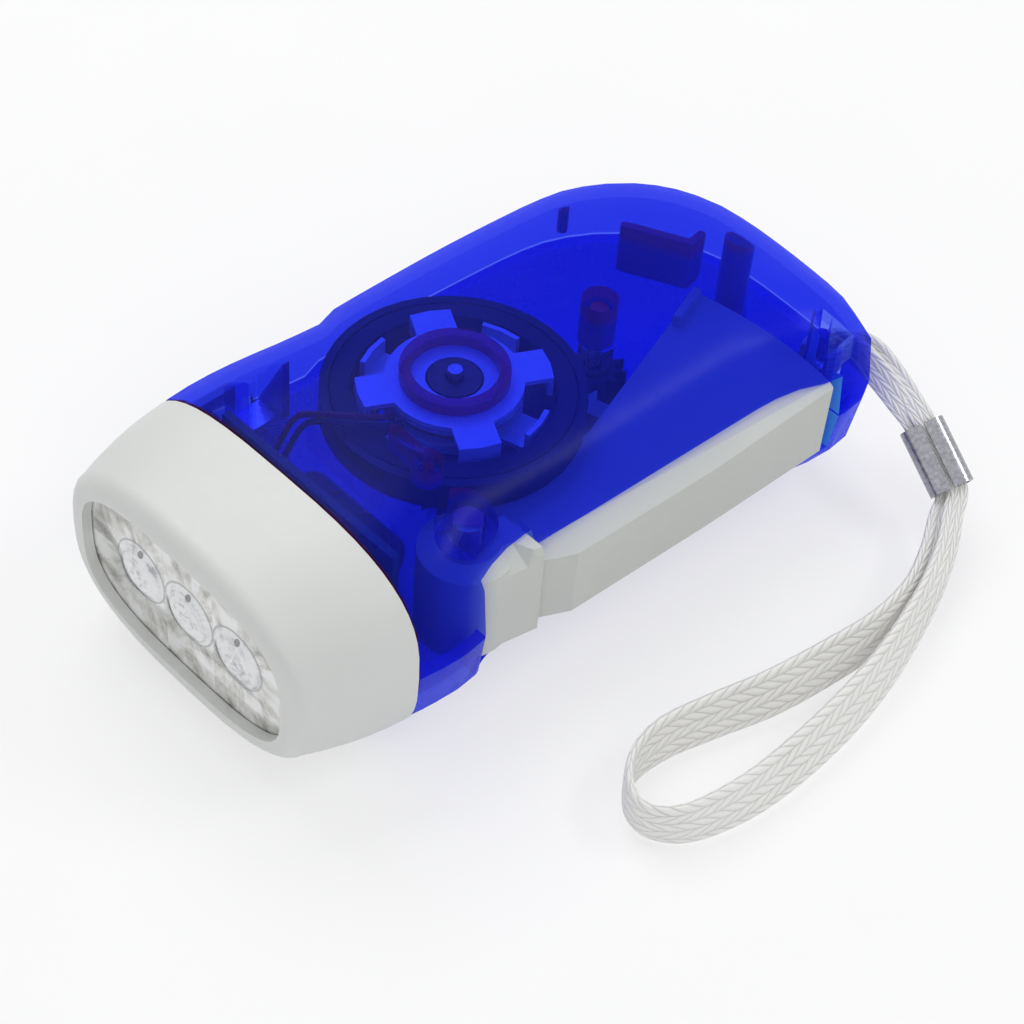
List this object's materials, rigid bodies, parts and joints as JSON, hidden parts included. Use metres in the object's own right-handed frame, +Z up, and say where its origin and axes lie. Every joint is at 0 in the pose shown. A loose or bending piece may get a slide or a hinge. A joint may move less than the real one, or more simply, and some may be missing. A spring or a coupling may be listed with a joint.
{
  "type": "hand-squeeze dynamo torch",
  "caption": "Pocket torch lit by squeezing a side lever: clear-lensed grey head, translucent blue housing showing its gears and generator, and a braided wrist strap.",
  "frame": {"origin": "middle of the underside of the torch as it lies on its broad face, measured without the strap", "axes": "the beam points along -Y, the tail is at +Y, the lever is on the +X side, +Z is up"},
  "size_m": [0.0905, 0.1074, 0.034],
  "materials": {
    "blue_plastic": "translucent blue, glossy outside and moulded smooth inside",
    "grey_plastic": "light warm grey, satin",
    "clear_plastic": "clear, polished",
    "chrome": "bright vacuum plating",
    "led_epoxy": "clear epoxy",
    "board_green": "solder mask",
    "steel": "bright steel",
    "dark_plastic": "dark moulded plastic",
    "nylon": "natural nylon",
    "ferrite": "sintered ferrite",
    "copper": "enamelled copper wire",
    "brown_metal": "soft iron, browned",
    "wire_1": "red insulation",
    "wire_2": "black insulation",
    "strap_braid": "flat woven braid, off-white",
    "crimp_steel": "nickel-plated steel"
  },
  "bodies": {
    "housing": {"upper_shell": "blue_plastic", "lower_shell": "blue_plastic", "head_bezel": "grey_plastic", "lens_window": "clear_plastic", "reflector": "chrome", "led_1": "led_epoxy", "led_2": "led_epoxy", "led_3": "led_epoxy", "lamp_board": "board_green", "lever_spring": "steel", "clutch_shaft": "steel", "idler_shaft": "steel", "rotor_shaft": "steel", "claw_plate_upper": "steel", "claw_plate_lower": "steel", "stator_bobbin": "nylon", "stator_coil": "copper", "centre_pole": "brown_metal", "switch_body": "steel", "backup_cells": "dark_plastic", "coil_wire_1": "wire_1", "coil_wire_2": "wire_2", "cell_wire_1": "wire_1", "cell_wire_2": "wire_2", "tail_screw_1": "steel", "tail_screw_2": "steel", "wrist_strap": "strap_braid", "strap_crimp": "crimp_steel"},
    "lever": {"squeeze_lever": "grey_plastic"},
    "input_pinion": {"input_pinion": "nylon"},
    "clutch_gear": {"clutch_gear": "dark_plastic"},
    "idler_gear": {"idler_gear": "dark_plastic"},
    "rotor": {"flywheel": "dark_plastic", "ring_magnet": "ferrite"},
    "switch": {"switch_slide": "grey_plastic"}
  },
  "joints": [
    {"name": "lever_swing", "type": "hinge", "parent": "housing", "child": "lever", "pos_m": [0.01751, -0.0206, 0.017], "axis": [0, 0, -1], "range_deg": [0, 17.5]},
    {"name": "input_pinion_spin", "type": "hinge", "parent": "housing", "child": "input_pinion", "pos_m": [0.00151, 0.01861, 0.017], "axis": [0, 0, -1], "range_deg": [-160, 0]},
    {"name": "flywheel_spin", "type": "hinge", "parent": "housing", "child": "rotor", "pos_m": [-0.00148, -0.0053, 0.024], "axis": [0, 0, 1], "continuous": true},
    {"name": "idler_spin", "type": "hinge", "parent": "housing", "child": "idler_gear", "pos_m": [-0.00888, 0.00821, 0.008], "axis": [0, 0, 1], "continuous": true},
    {"name": "clutch_gear_spin", "type": "hinge", "parent": "housing", "child": "clutch_gear", "pos_m": [0.00151, 0.01861, 0.006], "axis": [0, 0, 1], "continuous": true},
    {"name": "switch_slide_travel", "type": "slide", "parent": "housing", "child": "switch", "axis": [0, 1, 0], "range_m": [0, 0.003]}
  ],
  "couplings": [
    {"joint": "input_pinion_spin", "follows": "lever_swing", "ratio": -9.0833},
    {"joint": "idler_spin", "follows": "flywheel_spin", "ratio": -0.375},
    {"joint": "clutch_gear_spin", "follows": "flywheel_spin", "ratio": 0.15}
  ]
}
